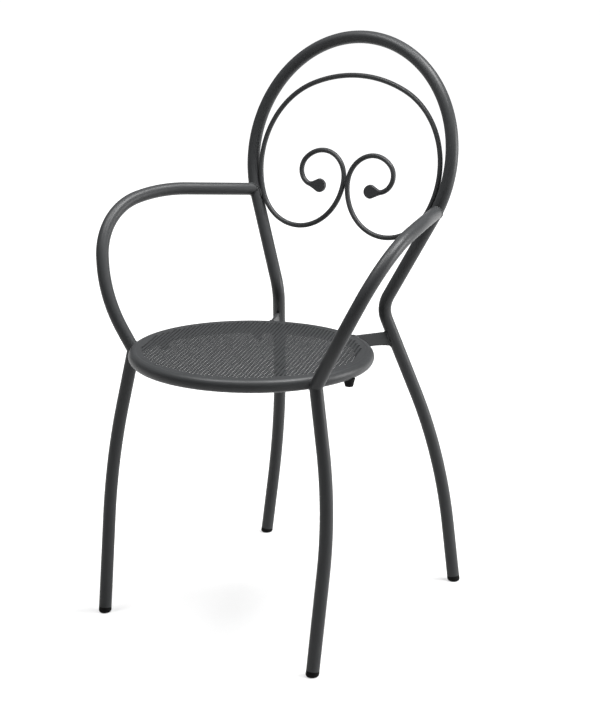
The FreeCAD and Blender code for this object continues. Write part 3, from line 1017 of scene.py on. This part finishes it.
@dataclass
class BackScroll(SubAssembly):
    """Round bar bent to a pair of scrolls inside the hoop, with a flat drop on each end."""

    back: BackFrame
    bar_radius: float = 0.0042
    sides: int = 24
    waist: float = 0.1965
    crown_radius: float = 0.233
    flank_radius: float = 0.1425
    curl_radius: float = 0.0465
    curl_end_radius: float = 0.0265
    curl_turn: float = radians(136)
    curl_end_turn: float = radians(134)
    tip_sides: int = 48
    tip_radius: float = 0.01175
    tip_length: float = 0.026
    tip_half_depth: float = 0.003
    tip_swell: float = 0.0058
    tip_taper: float = radians(27)
    neck_half_depth: float = 0.0045
    neck_fillet: float = 0.005
    neck_steps: int = 12
    round_steps: int = 16
    weld: WeldBead = WeldBead()
    weld_length: float = 0.018
    weld_depth: float = 0.0007

    def __post_init__(self) -> None:
        """Work out the centres and angles of the tangent arcs, on the left, in the back's plane."""
        half_gap = self.bar_radius + WELD_GAP / 2
        clear = self.back.hoop_radius - self.back.tube_radius - self.bar_radius - WELD_GAP
        drop = self.back.hoop_rise - self.waist
        loop_radius = (clear**2 - half_gap**2 - drop**2) / (2 * (clear + half_gap))
        self.loop = (half_gap + loop_radius, self.waist)
        self.loop_angle = atan2(-drop, self.loop[0])
        offset = clear - self.flank_radius
        self.flank = around((0.0, self.back.hoop_rise), offset, self.loop_angle)
        crown_offset = self.crown_radius - self.flank_radius
        self.crown = (0.0, self.flank[1] - sqrt(crown_offset**2 - self.flank[0] ** 2))
        self.crown_angle = atan2(self.flank[1] - self.crown[1], self.flank[0])
        self.curl = (half_gap + self.curl_radius, self.waist)
        curl_angle = pi - self.curl_turn
        self.curl_end = around(self.curl, self.curl_radius - self.curl_end_radius, curl_angle)
        self.end_angle = curl_angle - self.curl_end_turn

    def _bend_bar(self) -> Object:
        """Bend the bar from its left end over the crown to its right end.

        Returns:
            The finished bar.
        """
        plane = self.back.plane
        rising = [
            (self.curl_end, self.curl_end_turn),
            (self.curl, self.curl_turn),
            (self.loop, pi + self.loop_angle),
            (self.flank, self.crown_angle - self.loop_angle),
        ]
        falling = [((-centre[0], centre[1]), turn) for centre, turn in reversed(rising)]
        arcs = [*rising, (self.crown, pi - 2 * self.crown_angle), *falling]

        start, ahead = self.tip_start
        bar = RoundBar("scroll_bar", self.bar_radius, self.sides)
        bar.begin(start, -ahead)
        for centre, turn in arcs:
            bar.turn(plane.at(*centre), plane.normal, turn)
        return bar.close()

    @property
    def tip_start(self) -> tuple[Vector, Vector]:
        """Where the bar runs into its left tip.

        Returns:
            The point, and the bar's direction there.
        """
        start = self.back.plane.polar(self.curl_end, self.curl_end_radius, self.end_angle)
        ahead = Vector((sin(self.end_angle), 0, 0)) - self.back.plane.up * cos(self.end_angle)
        return start, ahead

    def _tip_ring(self, reach: float, width: float) -> Ring:
        """Make a ring of the left tip, on the bar's last arc or straight ahead of its end.

        Args:
            reach: Distance along the bar from the end of that arc.
            width: Half width of the ring.

        Returns:
            The ring, about the end of the arc.
        """
        depth = min(width, self.tip_swell)
        if reach > 0:
            return Ring(reach, width, depth)
        turned = reach / self.curl_end_radius
        shift = self.curl_end_radius * (1 - cos(turned))
        return Ring(self.curl_end_radius * sin(turned), width, depth, shift)

    def _forge_tip(self) -> Object:
        """Draw the left drop out of the bar in the back's plane, and press its swell to two flat faces.

        Returns:
            The finished drop.
        """
        middle = self.tip_length - self.tip_radius
        slope = tan(self.tip_taper)
        join = middle - self.tip_radius * sin(self.tip_taper)
        join_width = self.tip_radius * cos(self.tip_taper)
        begin = join - (join_width - self.bar_radius) / slope - self.neck_fillet
        rings = []
        for step in range(self.neck_steps):
            reach = (join - begin) * step / self.neck_steps
            flare = reach - self.neck_fillet
            if reach < 2 * self.neck_fillet:
                flare = reach**2 / (4 * self.neck_fillet)
            rings.append(self._tip_ring(begin + reach, self.bar_radius + slope * flare))
        for step in range(self.round_steps):
            angle = (pi / 2 + self.tip_taper) * step / self.round_steps - self.tip_taper
            height = middle + self.tip_radius * sin(angle)
            rings.append(self._tip_ring(height, self.tip_radius * cos(angle)))
        tip = draw_rings("scroll_tip_drop_left", self.tip_sides, rings)

        for vertex in tip.data.vertices:
            thinned = min(max((vertex.co.z - begin) / (middle - begin), 0), 1)
            limit = self.neck_half_depth + (self.tip_half_depth - self.neck_half_depth) * thinned
            vertex.co.y = min(max(vertex.co.y, -limit), limit)
        start, ahead = self.tip_start
        across = (self.back.plane.at(*self.curl_end) - start).normalized()
        axes = Matrix((across, ahead.cross(across), ahead)).transposed()
        return place(tip, Matrix.Translation(start) @ axes.to_4x4())

    def _lay_welds(self) -> list[Object]:
        """Lay short beads, front and back, in the crevices at the hoop's left and between the scrolls.

        Returns:
            The welds.
        """
        plane = self.back.plane
        to_bar = self.bar_radius + self.weld.radius - self.weld_depth
        to_tube = self.back.tube_radius + self.weld.radius - self.weld_depth
        apart = self.back.tube_radius + self.bar_radius + WELD_GAP
        inward = (to_tube**2 - to_bar**2 + apart**2) / (2 * apart)
        hoop = (0.0, self.back.hoop_rise)
        contact = plane.polar(hoop, self.back.hoop_radius - inward, self.loop_angle)
        along = Vector((-sin(self.loop_angle), 0, 0)) + plane.up * cos(self.loop_angle)
        out = plane.normal * sqrt(to_tube**2 - inward**2)
        waist_out = plane.normal * sqrt(to_bar**2 - (self.bar_radius + WELD_GAP / 2) ** 2)
        middle = plane.at(0, self.waist)
        seams = (("weld_hoop_{}_left", contact, out, along), ("weld_waist_{}", middle, waist_out, plane.up))
        return [
            self.weld.dab(name.format(face), spot + reach * side, way, self.weld_length)
            for name, spot, reach, way in seams
            for face, side in (("front", 1), ("back", -1))
        ]

    def build(self) -> None:
        """Bend the bar, forge its tip and lay its welds."""
        self.made = [(self._bend_bar(), "back_scroll"), (self._forge_tip(), "scroll_tip")]
        self.made += [(weld, None) for weld in self._lay_welds()]


@dataclass
class FootPlugs(SubAssembly):
    """Moulded plugs in the legs' ends, rounded below and flat where they stand."""

    side: ArmAndLeg
    back: BackFrame
    seam: float = 0.0003
    below: float = 0.006
    edge_round: float = 0.004
    round_steps: int = 6

    def _mould(self, name: str, foot: Vector, upward: Vector) -> Object:
        """Mould one plug.

        Args:
            name: Name of the piece.
            foot: Where the leg's centre line meets the floor.
            upward: Direction of the leg there.

        Returns:
            The finished plug.
        """
        radius = self.back.tube_radius
        top = self.back.foot_height - WELD_GAP
        profile = ((-self.below, radius), (top - self.seam, radius), (top, radius - self.seam))
        plug = draw_rings(name, self.back.sides, [Ring.round(*ring) for ring in profile])
        place(plug, facing(foot, upward))
        with editing(plug):
            bpy.ops.mesh.bisect(plane_co=(0, 0, 0), plane_no=(0, 0, 1), use_fill=True, clear_inner=True)
            pick(plug, Pick.EDGE, lambda e: max(v.co.z for v in e.verts) < WELD_GAP)
            bpy.ops.mesh.bevel(offset=self.edge_round, segments=self.round_steps, affect="EDGES")
        return plug

    def build(self) -> None:
        """Mould the left front and the left rear plug."""
        self.made = [
            (self._mould("foot_plug_front_left", self.side.foot, self.side.leg_up), "foot_front"),
            (self._mould("foot_plug_rear_left", self.back.rear_foot, self.back.leg_up), "foot_rear"),
        ]


@dataclass
class StackingBumpers(SubAssembly):
    """Tapered stops under the seat ring, saddled to it, that a stacked chair rests on."""

    ring: SeatRing
    side_angle: float = radians(1.8)
    rear_angle: float = radians(56)
    length: float = 0.0115
    saddle: float = 0.0015
    top_radius: float = 0.0095
    bottom_radius: float = 0.00625
    edge_round: float = 0.0015
    round_steps: int = 5
    sides: int = 32

    def _mould(self, name: str, angle: float) -> Object:
        """Mould one bumper.

        Args:
            name: Name of the piece.
            angle: Its place round the ring, from the sitter's left.

        Returns:
            The finished bumper.
        """
        tube = self.ring.tube_radius
        taper = (self.top_radius - self.bottom_radius) / (self.length + self.saddle)
        rings = [Ring.round(tube - self.saddle, self.top_radius)]
        for step in range(self.round_steps + 1):
            turn = pi / 2 * step / self.round_steps
            height = tube + self.length - self.edge_round * (1 - sin(turn))
            radius = self.bottom_radius + taper * self.edge_round - self.edge_round * (1 - cos(turn))
            rings.append(Ring.round(height, radius))
        bumper = draw_rings(name, self.sides, rings)
        spot = Matrix.Rotation(angle, 4, "Z") @ Matrix.Translation((self.ring.ring_radius, 0, 0))
        place(bumper, self.ring.plane.matrix @ spot @ Matrix.Rotation(pi, 4, "X"))
        cope(bumper, self.ring.piece)
        return bumper

    def build(self) -> None:
        """Mould the left side and the left rear bumper."""
        self.made = [
            (self._mould("stacking_bumper_side_left", self.side_angle), "bumper_side"),
            (self._mould("stacking_bumper_rear_left", self.rear_angle), "bumper_rear"),
        ]


@dataclass(frozen=True)
class Lamp:
    """Soft square studio lamp that looks at the middle of the chair, its angles in degrees."""

    name: str
    azimuth: float
    elevation: float
    power: float
    distance: float = 3.0
    width: float = 1.2

    def build(self, target: Vector) -> None:
        """Hang the lamp.

        Args:
            target: Point that it looks at.
        """
        turn = Matrix.Rotation(radians(self.azimuth), 3, "Z")
        aim = turn @ Matrix.Rotation(-radians(self.elevation), 3, "Y") @ Vector((1, 0, 0))
        bpy.ops.object.light_add(type="AREA")
        lamp = added(self.name)
        lamp.data.shape = "SQUARE"
        lamp.data.size = self.width
        lamp.data.energy = self.power
        lamp.matrix_world = facing(target + aim * self.distance, aim)


@dataclass(frozen=True)
class Studio:
    """White floor and backdrop, soft lamps and the camera."""

    lamps: tuple[Lamp, ...] = (
        Lamp("key_lamp", azimuth=36, elevation=70, power=170),
        Lamp("side_lamp", azimuth=36, elevation=10, power=82),
        Lamp("rim_lamp", azimuth=-144, elevation=75, power=86),
    )
    lamp_target: Vector = Vector((0, 0, 0.45))
    floor_size: float = 40.0
    floor_colour: str = "#b8b8b8"
    floor_glow: tuple[float, float] = (0.50, 1.00)
    glow_reach: tuple[float, float] = (0.5, 2.72)
    sky_light: float = 0.03
    backdrop_rise: float = radians(6)
    camera_spot: Vector = Vector((1.7250, -2.2990, 1.2822))
    camera_yaw: float = radians(36.195)
    camera_pitch: float = radians(16.546)
    camera_roll: float = radians(-0.932)
    lens: float = 94.76
    sensor: float = 36.0

    def _seen(self, tree: NodeTree) -> Any:
        """Find what the camera sees, also in gloss and through glass.

        Args:
            tree: Node tree that asks.

        Returns:
            Socket that is 1 for it.
        """
        path = add_node(tree, "LightPath").outputs
        seen = path["Is Camera Ray"]
        for ray in ("Is Glossy Ray", "Is Transmission Ray"):
            seen = add_node(tree, "Math", links={0: seen, 1: path[ray]}, operation="MAXIMUM").outputs[0]
        return seen

    def _floor(self) -> None:
        """Lay the floor, which reads white and keeps the chair's shadow."""
        deselect()
        bpy.ops.mesh.primitive_plane_add(size=self.floor_size)
        floor = added("studio_floor")
        material = new_material("white_studio_floor")
        add = partial(add_node, material.node_tree)
        # A matt pale grey that takes a soft shadow near the chair, and lifts itself to white further out
        paint = add("BsdfDiffuse", {"Color": linear(self.floor_colour)})
        spot = add("TexCoord").outputs["Object"]
        away = add("VectorMath", links={0: spot}, operation="LENGTH").outputs["Value"]
        reach = dict(zip(("From Min", "From Max", "To Min", "To Max"), self.glow_reach + self.floor_glow))
        glow = add("MapRange", reach, {"Value": away}).outputs["Result"]
        strength = add("Math", links={0: glow, 1: self._seen(material.node_tree)}, operation="MULTIPLY")
        lift = add("Emission", links={"Strength": strength.outputs[0]})
        both = add("AddShader", links={0: paint.outputs[0], 1: lift.outputs[0]})
        add("OutputMaterial", links={"Surface": both.outputs[0]})
        floor.data.materials.append(material)

    def _sky(self) -> None:
        """Stand a low white backdrop all round for reflections, and show the camera plain white."""
        world = bpy.data.worlds.new("studio_backdrop")
        world.use_nodes = True
        tree = world.node_tree
        tree.nodes.clear()
        add = partial(add_node, tree)
        heading = add("TexCoord").outputs["Generated"]
        rise = add("SeparateXYZ", links={"Vector": heading}).outputs["Z"]
        fade = {"From Max": sin(self.backdrop_rise), "To Min": 1.0, "To Max": self.sky_light}
        white = add("MapRange", fade, {"Value": rise}).outputs["Result"]
        light = add("MapRange", {"To Min": self.sky_light}, {"Value": self._seen(tree), "To Max": white})
        camera_ray = add("LightPath").outputs["Is Camera Ray"]
        shown = add("Math", links={0: light.outputs["Result"], 1: camera_ray}, operation="MAXIMUM")
        sky = add("Background", {"Color": linear("#ffffff")}, {"Strength": shown.outputs[0]})
        add("OutputWorld", links={"Surface": sky.outputs[0]})
        bpy.context.scene.world = world

    def _camera(self) -> None:
        """Stand the camera where the photograph was taken from."""
        bpy.ops.object.camera_add()
        camera = added("photo_camera")
        camera.data.lens = self.lens
        camera.data.sensor_width = self.sensor
        turn = (
            Matrix.Rotation(self.camera_yaw, 4, "Z")
            @ Matrix.Rotation(pi / 2 - self.camera_pitch, 4, "X")
            @ Matrix.Rotation(self.camera_roll, 4, "Z")
        )
        camera.matrix_world = Matrix.Translation(self.camera_spot) @ turn
        bpy.context.scene.camera = camera

    def build(self) -> None:
        """Set up the floor, the lamps, the sky and the camera."""
        self._floor()
        self._sky()
        for lamp in self.lamps:
            lamp.build(self.lamp_target)
        self._camera()
        bpy.context.scene.view_settings.view_transform = "Standard"


def main() -> None:
    """Build and dress the sub-assemblies in order, and set up the studio."""
    logging.basicConfig(level=logging.INFO, format="%(name)s: %(message)s")
    back = BackFrame(BackPlane())
    ring = SeatRing(SeatPlane())
    side = ArmAndLeg(back, ring)
    painted = [back, ring, SeatSheet(ring), side, SeatBracket(back, ring), BackScroll(back)]
    order = [(assembly, POWDER_COAT) for assembly in painted]
    order += [(FootPlugs(side, back), FOOT_PLASTIC), (StackingBumpers(ring), BUMPER_RUBBER)]
    for assembly, finish in order:
        assembly.build()
        assembly.dress(finish)
    Studio().build()


if __name__ == "__main__":
    main()
